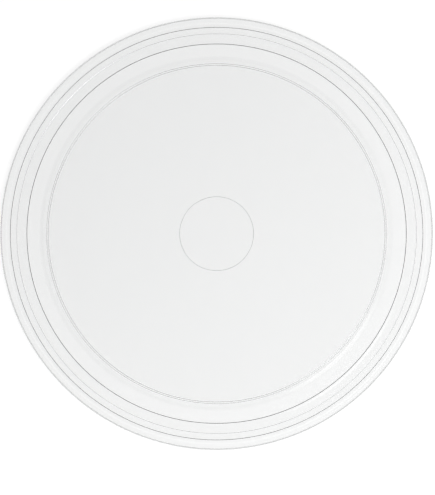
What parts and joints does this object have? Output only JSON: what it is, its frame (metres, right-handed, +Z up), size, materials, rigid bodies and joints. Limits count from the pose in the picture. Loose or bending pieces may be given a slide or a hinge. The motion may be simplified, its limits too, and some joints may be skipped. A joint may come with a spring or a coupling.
{
  "type": "microwave turntable plate",
  "caption": "Round clear glass turntable plate for a microwave oven: flat floor with a shallow central recess, sloping wall, stepped rim and a foot ring underneath.",
  "frame": {"origin": "centre of the foot ring, in the plane it stands on", "axes": "+Z up along the plate's axis, from the foot ring towards the lip; the plate is a body of revolution, so X and Y are any two level directions at right angles"},
  "size_m": [0.272, 0.272, 0.015],
  "materials": {
    "clear_glass": "fire-polished, smooth"
  },
  "bodies": {
    "root": {"plate": "clear_glass"}
  },
  "joints": []
}
